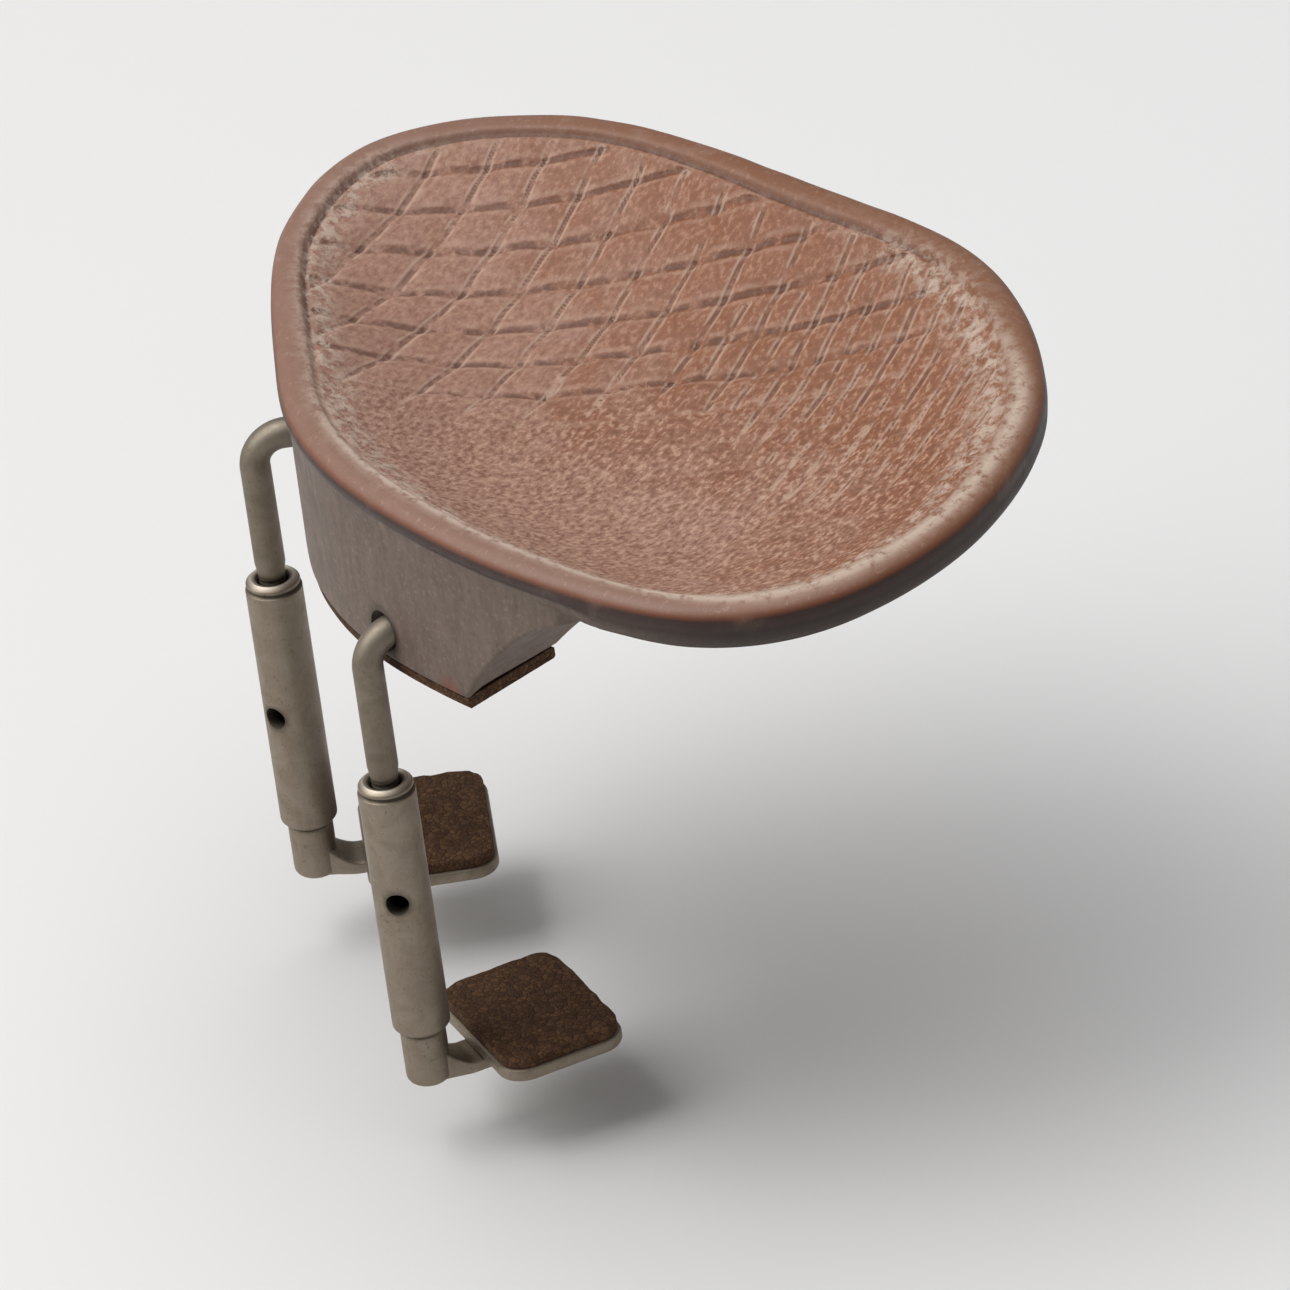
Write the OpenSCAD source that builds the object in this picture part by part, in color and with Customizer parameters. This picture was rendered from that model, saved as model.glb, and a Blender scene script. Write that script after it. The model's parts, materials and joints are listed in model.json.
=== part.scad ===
// Side-mounted violin chin rest: a moulded chin plate held on the edge of the body by two
// turnbuckle clamps. Millimetres. The origin is on the underside of the stand's cork lining,
// where the rest sits on the violin's top. +X is towards the treble side, +Y towards the
// scroll, +Z up, out of the top.

/* [Violin edge] */
// Height of the body at its edge, between the stand and the feet
edge_h = 38.5; // [35:0.5:42]
// Half of the lower bout's width
bout_across = 103.5; // [100:0.5:108]
// Half axis of the lower bout's end curve, along the body
bout_along = 72; // [68:0.5:76]

/* [Chin plate] */
// Height of the rim above the violin's top
rim_h = 19; // [16:0.2:24]
// How much lower the rim is at its treble end
rim_drop = 2; // [0:0.5:4]
// Width of the rounded rim
rim_w = 3.6; // [3:0.1:5]
// Depth of the dish below the rim
dish_depth = 7.2; // [4:0.2:8]
// Thickness of the plate
plate_t = 4.2; // [3.5:0.1:5]

/* [Stand] */
// Thickness of the stand, across the violin's edge
stand_w = 11; // [9:0.5:13]
// Thickness of the cork lining under the stand
stand_cork_t = 1.2; // [0.8:0.1:2]

/* [Clamps] */
// Place of the two clamps round the end curve, as its angle
clamp_angles = [241, 218]; // [205:1:245]
// Distance from the violin's edge out to a barrel's axis
clamp_out = 3.6; // [3.2:0.1:5]
// Diameter of a barrel
barrel_d = 5.2; // [5:0.1:6]
// Length of a barrel
barrel_len = 26; // [24:0.5:28]
// Diameter of a barrel's cross hole
key_hole_d = 2.1; // [1.8:0.1:2.4]
// Direction that each cross hole faces, in plan
key_hole_dirs = [-55, -84]; // [-180:1:180]
// Key holes' height above the middle of their barrels, right and left
key_hole_up = [1.4, -0.8]; // [-3:0.1:3]
// Diameter of an upper hook's rod
rod_d = 2.8; // [2.7:0.1:3.2]
// Outer diameter of the threads in a barrel
thread_d = 2.5; // [2.2:0.1:2.5]
// Height of an upper hook's level arm above the violin's top
arm_h = 4; // [3.6:0.1:5]
// Diameter of a lower hook's boss
boss_d = 4.1; // [3.8:0.1:4.4]

/* [Feet] */
// Length of a foot along the violin's edge
foot_len = 16; // [12:0.5:20]
// Width of a foot, inwards from the edge
foot_w = 12; // [9:0.5:14]
// Thickness of a foot plate
foot_t = 1.2; // [1:0.1:1.5]
// Thickness of a foot's cork pad
foot_cork_t = 1.1; // [0.8:0.1:1.5]

/* [Hidden] */

right = 0;
left = 1;
round_fn = 64;
cut_past = 1;

// Colours
moulded_brown = [0.42, 0.29, 0.24];
cork_brown = [0.30, 0.20, 0.14];
nickel_grey = [0.62, 0.60, 0.55];

// The violin's edge in plan is the end curve of the lower bout. The origin lies seat_in
// inside it, at the angle seat_angle.
seat_angle = 229.5;
seat_in = 6.5;
function bout(a) = [bout_across * cos(a), bout_along * sin(a)];
function bout_normal(a) = -[bout_along * cos(a), bout_across * sin(a)];
function inwards(a) = bout_normal(a) / norm(bout_normal(a));
bout_centre = -(bout(seat_angle) + seat_in * inwards(seat_angle));
function edge_point(a, inset) = bout_centre + bout(a) + inset * inwards(a);

// Plan of the cup: a closed smooth curve through these points, anticlockwise from the front.
// Its near side follows the violin's edge.
cup_points = [[15.5, -16.2], [32.5, -17], [49.5, -13.4], [58.5, -3], [59.2, 14], [51, 31.5],
              [33, 44.3], [11, 45.3], [-14, 43], [-28, 30.5], [-24.6, 13.5], [-8, -4.5],
              [2.7, -12.3]];
cup_centre = [16, 13];
span_steps = 6;
function curve(p0, p1, p2, p3, u) =
    0.5 * (2 * p1 + (p2 - p0) * u + (2 * p0 - 5 * p1 + 4 * p2 - p3) * u * u
    + (3 * p1 - p0 - 3 * p2 + p3) * u * u * u);
function wrap(i) = (i + len(cup_points)) % len(cup_points);
cup_outline = [for (i = [0:len(cup_points) - 1]) for (k = [0:span_steps - 1])
    curve(cup_points[wrap(i - 1)], cup_points[i], cup_points[wrap(i + 1)],
          cup_points[wrap(i + 2)], k / span_steps)];
outline_n = len(cup_outline);

// Heights of the cup's surfaces. The rim falls smoothly towards its treble end.
fall_from = -5;
fall_over = 65;
function eased(u) = let (c = min(max(u, 0), 1)) c * c * (3 - 2 * c);
function rim_z(p) = rim_h - rim_drop * eased((p[0] - fall_from) / fall_over);
dish_power = 2.4;
function dish_z(p, q) = rim_z(p) - dish_depth * (1 - pow(q, dish_power));

// A ring of the cup, inset from the outline by a distance and offset from the rim's height.
function rim_ring(inset, dz) = [for (p = cup_outline)
    let (d = p - cup_centre, r = cup_centre + d * (1 - inset / norm(d)))
    [r[0], r[1], rim_z(r) + dz]];

// A ring of the dish or of the underside, at the part q of the way from the centre to the rim.
function dish_ring(q, dz) = [for (p = cup_outline)
    let (d = p - cup_centre, r = cup_centre + d * q * (1 - rim_w / norm(d)))
    [r[0], r[1], dish_z(r, q) + dz]];

rim_step = 0.5;
cup_rings = concat(
    [for (q = [0.15, 0.4, 0.6, 0.75, 0.88]) dish_ring(q, -rim_step)],
    [rim_ring(rim_w, -rim_step),
     rim_ring(rim_w - 0.5, -0.1),
     rim_ring(rim_w / 2, 0),
     rim_ring(0.6, -0.5),
     rim_ring(0, -1.5),
     rim_ring(0, -2.8),
     rim_ring(0.5, -3.8),
     rim_ring(1.6, -plate_t)],
    [for (q = [0.95, 0.8, 0.6, 0.4, 0.15]) dish_ring(q, -plate_t - rim_step)]);

// The closed solid through a stack of rings that all have the same number of points, with
// each end closed by triangles round its middle.
function middle(ring) = [for (axis = [0:2]) [for (p = ring) p[axis]] * [for (p = ring) 1]] / len(ring);
module ring_stack(rings) {
    n = len(rings[0]);
    last = len(rings) - 1;
    first_middle = (last + 1) * n;
    last_middle = first_middle + 1;
    polyhedron(
        points = concat([for (ring = rings) for (p = ring) p],
                        [middle(rings[0]), middle(rings[last])]),
        faces = concat(
            [for (i = [0:n - 1]) [first_middle, (i + 1) % n, i]],
            [for (j = [0:last - 1]) for (i = [0:n - 1])
                [j * n + i, (j + 1) * n + (i + 1) % n, (j + 1) * n + i]],
            [for (j = [0:last - 1]) for (i = [0:n - 1])
                [j * n + i, j * n + (i + 1) % n, (j + 1) * n + (i + 1) % n]],
            [for (i = [0:n - 1]) [last_middle, last * n + i, last * n + (i + 1) % n]]));
}

// Clamp frame: the origin is on the barrel's axis, +X points in under the violin.
module at_clamp(side) {
    a = clamp_angles[side];
    p = edge_point(a, -clamp_out);
    d = inwards(a);
    translate([p[0], p[1], 0])
        rotate([0, 0, atan2(d[1], d[0])])
            children();
}

// The stand: a wall under the cup's near edge. Its stations are points of the cup's outline,
// counted from the first. The foot lies flat on its lining, and the wall arches up into the
// cup's underside past both of its ends.
foot_first = -18;
foot_last = 3;
arch_steps = 6;
stand_outer = 0.5;
stand_inner = stand_outer + stand_w;
stand_lean = 0.3;
fillet = 2.5;
function station(i) = cup_outline[(i + outline_n) % outline_n];
function station_in(i) =
    let (d = station(i + 1) - station(i - 1)) [-d[1], d[0]] / norm(d);
function station_point(i, inset) = station(i) + inset * station_in(i);

// The wall's top reaches into the cup's plate by `bite`, and past its foot the wall ends
// inside the plate by `end_bite`.
bite = 1.5;
end_bite = 0.8;

// The part of the way from the centre to the rim at which a point under the cup lies
function way_out(p, i) =
    norm(p - cup_centre) / (norm(station(i) - cup_centre) - rim_w);
function under_z(i, inset) =
    let (p = station_point(i, inset)) dish_z(p, min(way_out(p, i), 1)) - plate_t - rim_step;

function past_foot(i) = max(foot_first - i, i - foot_last, 0);
function stand_base(i, inset) =
    let (s = past_foot(i) / arch_steps)
    stand_cork_t + (under_z(i, inset) + end_bite - stand_cork_t) * (1 - (1 - s) * (1 - s));

// The fillet of the inner side starts at this part of the wall's height
fillet_from = 0.6;
function fillet_z(i) =
    let (base = stand_base(i, stand_inner), top = under_z(i, stand_inner) + bite)
    base + fillet_from * (top - base);

function stand_section(i) = [
    concat(station_point(i, stand_outer), stand_base(i, stand_outer)),
    concat(station_point(i, stand_outer + stand_lean), under_z(i, stand_outer) + bite),
    concat(station_point(i, stand_inner + fillet), under_z(i, stand_inner + fillet) + bite),
    concat(station_point(i, stand_inner + stand_lean), fillet_z(i)),
    concat(station_point(i, stand_inner), stand_base(i, stand_inner))];

arm_in = 9;
arm_end_gap = 0.5;
hole_clearance = 0.05;
countersink = 0.6;
module chin_plate() {
    color(moulded_brown)
        difference() {
            union() {
                ring_stack(cup_rings);
                ring_stack([for (i = [foot_first - arch_steps:foot_last + arch_steps])
                    stand_section(i)]);
            }
            for (side = [right, left])
                at_clamp(side) translate([0, 0, arm_h]) rotate([0, 90, 0]) {
                    cylinder(d = rod_d + 2 * hole_clearance, h = clamp_out + arm_in, $fn = round_fn);
                    cylinder(r = rod_d / 2 + countersink, h = clamp_out + 0.2, $fn = round_fn);
                }
        }
}

cork_inset = 0.3;
module stand_cork() {
    stations = [for (i = [foot_first:foot_last]) i];
    outer = [for (i = stations) station_point(i, stand_outer + cork_inset)];
    inner = [for (i = stations) station_point(i, stand_inner - cork_inset)];
    color(cork_brown)
        linear_extrude(stand_cork_t)
            polygon(concat(outer, [for (k = [len(inner) - 1:-1:0]) inner[k]]));
}

// Heights along a clamp, from the violin's top down: its lower end hangs below the back.
foot_plate_top = -edge_h - foot_cork_t;
tongue_t = 1.3;
tongue_top = foot_plate_top - foot_t;
hook_bottom = tongue_top - tongue_t;
boss_r = boss_d / 2;
boss_h = 5.45;
seam = 0.1;
boss_top = hook_bottom + boss_h;
barrel_bottom = boss_top + seam;
barrel_top = barrel_bottom + barrel_len;

stud_in = 10.5;
running = 0.05;
bore_r = thread_d / 2 + running;
barrel_r = barrel_d / 2;

arm_bend_r = 3;
taper_h = 1;
thread_shows = 0.5;
rod_r = rod_d / 2;
stud_chamfer = 0.3;
module upper_hook(side) {
    stud_end = barrel_top - stud_in;
    bend_z = arm_h - arm_bend_r;
    color(nickel_grey)
        at_clamp(side) {
            rotate_extrude($fn = round_fn)
                polygon([[0, stud_end], [thread_d / 2 - stud_chamfer, stud_end],
                         [thread_d / 2, stud_end + stud_chamfer],
                         [thread_d / 2, barrel_top + thread_shows],
                         [rod_r, barrel_top + thread_shows + taper_h],
                         [rod_r, bend_z], [0, bend_z]]);
            translate([arm_bend_r, 0, bend_z])
                rotate([90, 0, 0])
                    rotate([0, 0, 90])
                        rotate_extrude(angle = 90, $fn = round_fn)
                            translate([arm_bend_r, 0])
                                circle(r = rod_r, $fn = round_fn);
            translate([arm_bend_r, 0, arm_h])
                rotate([0, 90, 0])
                    cylinder(r = rod_r, h = clamp_out + arm_in - arm_bend_r - arm_end_gap, $fn = round_fn);
        }
}

chamfer = 0.45;
mouth = 0.3;
module barrel(side) {
    color(nickel_grey)
        difference() {
            at_clamp(side)
                rotate_extrude($fn = round_fn)
                    polygon([[bore_r + mouth, barrel_bottom], [barrel_r - mouth, barrel_bottom],
                             [barrel_r, barrel_bottom + mouth], [barrel_r, barrel_top - chamfer],
                             [barrel_r - chamfer, barrel_top], [bore_r + mouth, barrel_top],
                             [bore_r, barrel_top - mouth], [bore_r, barrel_bottom + mouth]]);
            key_hole(side);
        }
}

// The cross hole near the middle of a barrel
module key_hole(side) {
    p = edge_point(clamp_angles[side], -clamp_out);
    translate([p[0], p[1], (barrel_top + barrel_bottom) / 2 + key_hole_up[side]])
        rotate([0, 0, key_hole_dirs[side]])
            rotate([0, 90, 0])
                cylinder(d = key_hole_d, h = barrel_d + 2 * cut_past, center = true, $fn = round_fn);
}

// The boss has a rounded heel. A web joins it to a flat tongue that starts under the violin's
// edge and ends round about the rivet.
rivet_x = 10;
rivet_d = 1.8;
tongue_r = 2.9;
tongue_x = clamp_out + 0.2;
boss_chamfer = 0.2;
heel = 0.8;
heel_step = heel * (1 - cos(45));
web_from = 1;
web_w = 3.2;
web_h = 3.4;
slice = 0.2;
module lower_hook(side) {
    stud_top = barrel_bottom + stud_in;
    color(nickel_grey)
        at_clamp(side)
            difference() {
                union() {
                    rotate_extrude($fn = round_fn)
                        polygon([[0, hook_bottom], [boss_r - heel, hook_bottom],
                                 [boss_r - heel_step, hook_bottom + heel_step],
                                 [boss_r, hook_bottom + heel],
                                 [boss_r, boss_top - boss_chamfer],
                                 [boss_r - boss_chamfer, boss_top],
                                 [thread_d / 2, boss_top],
                                 [thread_d / 2, stud_top - stud_chamfer],
                                 [thread_d / 2 - stud_chamfer, stud_top], [0, stud_top]]);
                    hull() {
                        translate([web_from, -web_w / 2, hook_bottom])
                            cube([slice, web_w, web_h]);
                        translate([tongue_x, -boss_r, hook_bottom])
                            cube([slice, boss_d, tongue_t]);
                    }
                    translate([tongue_x, -boss_r, hook_bottom])
                        cube([rivet_x - tongue_x, boss_d, tongue_t]);
                    translate([rivet_x, 0, hook_bottom])
                        cylinder(r = tongue_r, h = tongue_t, $fn = round_fn);
                }
                translate([rivet_x, 0, hook_bottom - cut_past])
                    cylinder(d = rivet_d, h = tongue_t + 2 * cut_past, $fn = round_fn);
            }
}

// Plan of a foot: a rectangle with round corners, its long side along the violin's edge
foot_x = clamp_out + 0.8;
corner_r = 2.5;
module foot_plan(inset) {
    low = foot_x + inset + corner_r;
    high = foot_x + foot_w - inset - corner_r;
    half = foot_len / 2 - inset;
    translate([low - corner_r, -half + corner_r])
        square([high - low + 2 * corner_r, 2 * (half - corner_r)]);
    translate([low, -half])
        square([high - low, 2 * half]);
    for (x = [low, high])
        for (y = [-half + corner_r, half - corner_r])
            translate([x, y]) circle(r = corner_r, $fn = round_fn);
}

module foot_plate(side) {
    color(nickel_grey)
        at_clamp(side)
            difference() {
                translate([0, 0, tongue_top]) linear_extrude(foot_t) foot_plan(0);
                translate([rivet_x, 0, tongue_top - cut_past])
                    cylinder(d = rivet_d, h = foot_t + 2 * cut_past, $fn = round_fn);
            }
}

rivet_head_d = 3.4;
rivet_head_h = 0.5;
module foot_rivet(side) {
    color(nickel_grey)
        at_clamp(side)
            translate([rivet_x, 0, 0])
                rotate_extrude($fn = round_fn)
                    polygon([[0, hook_bottom - rivet_head_h],
                             [rivet_head_d / 4, hook_bottom - rivet_head_h],
                             [rivet_head_d / 2, hook_bottom], [rivet_d / 2, hook_bottom],
                             [rivet_d / 2, foot_plate_top], [0, foot_plate_top]]);
}

module foot_cork(side) {
    color(cork_brown)
        at_clamp(side)
            translate([0, 0, foot_plate_top])
                linear_extrude(foot_cork_t)
                    foot_plan(cork_inset);
}

chin_plate();
stand_cork();
upper_hook(right);  // upper_hook_right
upper_hook(left);  // upper_hook_left
barrel(right);  // barrel_right
barrel(left);  // barrel_left
lower_hook(right);  // lower_hook_right
lower_hook(left);  // lower_hook_left
foot_plate(right);  // foot_plate_right
foot_plate(left);  // foot_plate_left
foot_rivet(right);  // foot_rivet_right
foot_rivet(left);  // foot_rivet_left
foot_cork(right);  // foot_cork_right
foot_cork(left);  // foot_cork_left
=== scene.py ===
"""Side-mounted violin chin rest: detailed pieces and materials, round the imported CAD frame.

Shapes are worked out in millimetres in the row frame, and `build` turns them into metres.
"""
import json
import math

import bpy
import numpy as np
from mathutils import Matrix, Vector


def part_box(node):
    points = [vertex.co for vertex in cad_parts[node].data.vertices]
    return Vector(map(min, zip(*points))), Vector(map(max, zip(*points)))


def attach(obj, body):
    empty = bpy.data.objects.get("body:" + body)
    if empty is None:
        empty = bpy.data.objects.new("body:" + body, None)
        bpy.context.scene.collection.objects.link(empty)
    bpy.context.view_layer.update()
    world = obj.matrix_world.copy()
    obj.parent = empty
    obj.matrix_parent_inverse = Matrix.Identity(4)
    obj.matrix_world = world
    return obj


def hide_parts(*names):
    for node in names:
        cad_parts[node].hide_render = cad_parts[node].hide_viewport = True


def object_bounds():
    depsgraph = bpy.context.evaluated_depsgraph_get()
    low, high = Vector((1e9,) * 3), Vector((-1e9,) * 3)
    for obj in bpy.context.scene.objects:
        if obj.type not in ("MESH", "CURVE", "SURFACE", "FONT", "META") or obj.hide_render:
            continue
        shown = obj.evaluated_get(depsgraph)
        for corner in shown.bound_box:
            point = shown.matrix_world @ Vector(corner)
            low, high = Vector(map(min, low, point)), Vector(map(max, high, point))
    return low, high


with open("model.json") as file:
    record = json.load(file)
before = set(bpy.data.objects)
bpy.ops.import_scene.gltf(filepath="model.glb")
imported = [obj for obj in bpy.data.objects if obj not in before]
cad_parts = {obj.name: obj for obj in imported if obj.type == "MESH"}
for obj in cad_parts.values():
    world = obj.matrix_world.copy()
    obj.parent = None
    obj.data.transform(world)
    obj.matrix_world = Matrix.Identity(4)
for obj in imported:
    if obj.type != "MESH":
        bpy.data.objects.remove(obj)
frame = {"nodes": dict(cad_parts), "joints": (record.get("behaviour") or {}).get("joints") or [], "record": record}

cad_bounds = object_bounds()
MM = 0.001
SIDES = ("right", "left")

# ---- Dimensions of the design, in millimetres ----

# Chin plate
RIM_W = 3.6
RIM_DROP = 2.0  # how far the rim falls towards the cup's right end
FALL_FROM = -5.0  # between this x
FALL_TO = 60.0  # and this one
DISH_DEPTH = 7.2
DISH_POWER = 2.4  # the higher, the flatter the dish's middle
PLATE_T = 4.2
RIM_STEP = 0.5  # from the rim down to the dish's edge
CUP_CENTRE = np.array([16.0, 13.0])
CUP_POINTS = np.array([
    [15.5, -16.2], [32.5, -17.0], [49.5, -13.4], [58.5, -3.0], [59.2, 14.0], [51.0, 31.5],
    [33.0, 44.3], [11.0, 45.3], [-14.0, 43.0], [-28.0, 30.5], [-24.6, 13.5], [-8.0, -4.5],
    [2.7, -12.3]])
SPANS = len(CUP_POINTS)
DISH_HALF = 31.0  # from the centre to the dish's near and far edges
FAR_WAY = (-0.731, 0.682)  # unit vector from the centre towards the cup's long far side

# Stand: its foot runs along the outline from one place to another, counted in spans, and
# the wall arches up into the plate within one more span at each end.
FOOT_FROM = -3.0
FOOT_TO = 0.5
ARCH = 1.0
STAND_OUTER = 0.5  # insets of its two sides
STAND_INNER = 11.5
STAND_LEAN = 0.3
FILLET = 2.5
EDGE_R = 0.5
CHIPPED_CORNER = (22.0, -15.5)  # its right-hand end, at the violin
HOOK_HOLE_R = 1.45
HOOK_HOLE_END = 12.6
COUNTERSINK = 0.5

# Embossed lattice: two families of lines across the dish
A_DIRECTION = math.radians(44.0)
A_SPACING = 5.1
A_OFFSET = 4.6
A_BEND = 0.45  # how much these lines bow where the dish climbs to its ends
B_DIRECTION = math.radians(105.5)
B_SPACING = 4.77
B_OFFSET = -1.2
WAVER = ((9.0, 0.26), (2.5, 0.14))  # length and amount of the lines' two wavers
PILLOW_H = 0.09
STEP_LINE_DEPTH = 0.28
WORN_AWAY = 0.9  # what a worn-out line adds to its distance, which hides it

# Clamps
ROD_R = 1.4
THREAD_R = 1.25
BORE_R = 1.3
PITCH = 0.5
THREAD_DEPTH = 0.28
STUD_IN = 10.5
STUD_POINT = 0.45  # how much narrower the stud's end is
THREAD_SHOWS = 0.5
TAPER_H = 1.0
ARM_BEND_R = 3.0
ARM_LENGTH = 12.1
GROOVE_DOWN = 0.85  # the barrel's groove, below its top
KEY_MOUTH = 0.1925  # how much wider than itself the key hole's cutter starts
SEAM = 0.1  # between barrel and boss
BOSS_R = 2.05
HEEL = 0.8
WEB_FROM = 0.9
WEB_W = 3.2
WEB_H = 3.4
TONGUE_X = 3.8
RIVET_X = 10.0
RIVET_R = 0.9
RIVET_HOLE_R = RIVET_R + 0.01
RIVET_HEAD_R = 1.7
RIVET_HEAD_H = 0.5
TONGUE_R = 2.9
FOOT_X = 4.4
FOOT_W = 12.0
FOOT_LEN = 16.0
CORNER_R = 2.5
CORK_INSET = 0.3
FLOOR_GAP = 0.6  # left under the feet when they are lowest

# Heights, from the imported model
low_z = {node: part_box(node)[0].z / MM for node in frame["nodes"]}
high_z = {node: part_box(node)[1].z / MM for node in frame["nodes"]}
RIM_H = high_z["chin_plate"]
STAND_CORK_T = high_z["stand_cork"]
ARM_Z = high_z["upper_hook_right"] - ROD_R
BARREL_TOP = high_z["barrel_right"]
BARREL_BOTTOM = low_z["barrel_right"]
BARREL_R = (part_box("barrel_right")[1].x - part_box("barrel_right")[0].x) / 2 / MM
FOOT_CORK_TOP = high_z["foot_cork_right"]
FOOT_PLATE_TOP = high_z["foot_plate_right"]
TONGUE_TOP = low_z["foot_plate_right"]
HOOK_BOTTOM = low_z["lower_hook_right"]
LOWEST = low_z["foot_rivet_right"]
BOSS_TOP = BARREL_BOTTOM - SEAM

mounts = {mount["name"]: mount for mount in frame["record"]["mounts"]}


# ---- Small tools ----

def smoothstep(low, high, x):
    """0 at low, 1 at high, and a smooth change between. Either may be the larger one."""
    t = np.clip((np.asarray(x, float) - low) / (high - low), 0, 1)
    return t * t * (3 - 2 * t)


def value_noise(x, y, cell, seed):
    """Smooth noise from -1 to 1 whose bumps are about one cell wide."""
    table = np.random.default_rng(seed).uniform(-1, 1, (128, 128))
    u = np.asarray(x, float) / cell
    v = np.asarray(y, float) / cell
    i = np.floor(u).astype(int)
    j = np.floor(v).astype(int)
    a = smoothstep(0, 1, u - i)
    b = smoothstep(0, 1, v - j)
    low = table[i % 128, j % 128] * (1 - a) + table[(i + 1) % 128, j % 128] * a
    high = table[i % 128, (j + 1) % 128] * (1 - a) + table[(i + 1) % 128, (j + 1) % 128] * a
    return low * (1 - b) + high * b


def turns(sides):
    """The angles of a circle's points."""
    return np.arange(sides) * 2 * math.pi / sides


def catmull_rom(points, u, closed=True):
    """Points of a smooth curve through the given ones. u counts spans from the first."""
    points = np.asarray(points, float)
    n = len(points)
    i = np.floor(u).astype(int)
    f = (u - i)[:, None]
    p0, p1, p2, p3 = (points[(i + k) % n if closed else np.clip(i + k, 0, n - 1)]
                      for k in (-1, 0, 1, 2))
    return 0.5 * (2 * p1 + (p2 - p0) * f + (2 * p0 - 5 * p1 + 4 * p2 - p3) * f ** 2
                  + (3 * p1 - p0 - 3 * p2 + p3) * f ** 3)


def rounded_corners(corners, steps=6):
    """A polyline with arcs at its corners. Each corner is (x, y, radius)."""
    out = []
    for k, (x, y, radius) in enumerate(corners):
        here = np.array([x, y], float)
        if radius == 0:
            out.append(here)
            continue
        before = np.array(corners[k - 1][:2], float) - here
        after = np.array(corners[k + 1][:2], float) - here
        before /= np.hypot(*before)
        after /= np.hypot(*after)
        half = math.acos(np.clip(before @ after, -1, 1)) / 2
        reach = radius / math.tan(half)
        start, end = here + before * reach, here + after * reach
        middle = here + (before + after) / np.hypot(*(before + after)) * radius / math.sin(half)
        for t in np.linspace(0, 1, steps + 1):
            p = start * (1 - t) + end * t - middle
            out.append(middle + p / np.hypot(*p) * radius)
    return np.array(out)


class Clamp:
    """Place of one clamp: its barrel's axis, and the direction in under the violin."""

    def __init__(self, side):
        hole = mounts["key_hole_" + side]
        seat = mounts["foot_seat_" + side]
        self.axis = np.array(hole["pos_m"][:2]) / MM
        self.hole_z = hole["pos_m"][2] / MM
        self.hole_r = hole["dims"]["r_mm"]
        self.hole_direction = Vector(hole["axis"])
        inward = np.array(seat["pos_m"][:2]) / MM - self.axis
        self.inward = inward / np.hypot(*inward)

    def place(self, points):
        """Points given along the inward direction, across it and up, in the row frame."""
        points = np.asarray(points, float)
        c, s = self.inward
        x = self.axis[0] + points[:, 0] * c - points[:, 1] * s
        y = self.axis[1] + points[:, 0] * s + points[:, 1] * c
        return np.column_stack([x, y, points[:, 2]])


clamps = {side: Clamp(side) for side in SIDES}


# ---- Meshes ----

def stitch(first, n_first, second, n_second):
    """Faces between two closed rings, one of which may have twice as many points."""
    if n_first < n_second:
        return [(b, a, c) for a, b, c in stitch(second, n_second, first, n_first)]
    faces = []
    for i in range(n_second):
        d, e = second + i, second + (i + 1) % n_second
        if n_first == n_second:
            faces.append((first + i, d, e, first + (i + 1) % n_first))
        else:
            a, b, c = (first + (2 * i + k) % n_first for k in range(3))
            faces += [(a, d, b), (b, d, e), (b, e, c)]
    return faces


def loft(rings, wrap=False):
    """The closed surface through a stack of rings: capped at both ends, or wrapped round."""
    points = np.vstack(rings)
    starts = np.cumsum([0] + [len(ring) for ring in rings])
    faces = []
    for k in range(len(rings) - 1):
        faces += stitch(starts[k], len(rings[k]), starts[k + 1], len(rings[k + 1]))
    if wrap:
        faces += stitch(starts[-2], len(rings[-1]), 0, len(rings[0]))
        return points, faces
    first, last = len(points), len(points) + 1
    points = np.vstack([points, rings[0].mean(0), rings[-1].mean(0)])
    for i in range(len(rings[0])):
        faces.append((first, i, (i + 1) % len(rings[0])))
    for i in range(len(rings[-1])):
        faces.append((last, starts[-2] + (i + 1) % len(rings[-1]), starts[-2] + i))
    return points, faces


def revolved(profile, sides=96, wrap=False):
    """The solid that a profile of (radius, height) points sweeps, from its top down."""
    turn = turns(sides)
    rings = [np.column_stack([r * np.cos(turn), r * np.sin(turn), np.full(sides, z)])
             for r, z in profile]
    return loft(rings, wrap)


def circle_at(clamp, x, z, tilt, radius, sides=32, squash=1.0):
    """A rod's cross-section in a clamp's frame. tilt is 0 on an upright rod, -90 on an arm."""
    turn = turns(sides)
    a = math.radians(tilt)
    flat = radius * squash * np.cos(turn)
    return clamp.place(np.column_stack([x + flat * math.cos(a), radius * np.sin(turn),
                                        z + flat * math.sin(a)]))


def add(name, data):
    """A new object in the scene."""
    made = bpy.data.objects.new(name, data)
    bpy.context.scene.collection.objects.link(made)
    return made


def build(name, points, faces):
    """A mesh object in metres."""
    mesh = bpy.data.meshes.new(name)
    mesh.from_pydata((np.asarray(points) * MM).tolist(), [], [tuple(map(int, f)) for f in faces])
    mesh.validate()
    return add(name, mesh)


def combine(shape, other, operation="DIFFERENCE"):
    """Takes another closed shape out of the first, or fuses it in with "UNION"."""
    modifier = shape.modifiers.new("combine", "BOOLEAN")
    modifier.operation = operation
    modifier.solver = "EXACT"
    modifier.object = other
    bpy.context.view_layer.objects.active = shape
    bpy.ops.object.modifier_apply(modifier=modifier.name)
    bpy.data.objects.remove(other)


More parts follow.
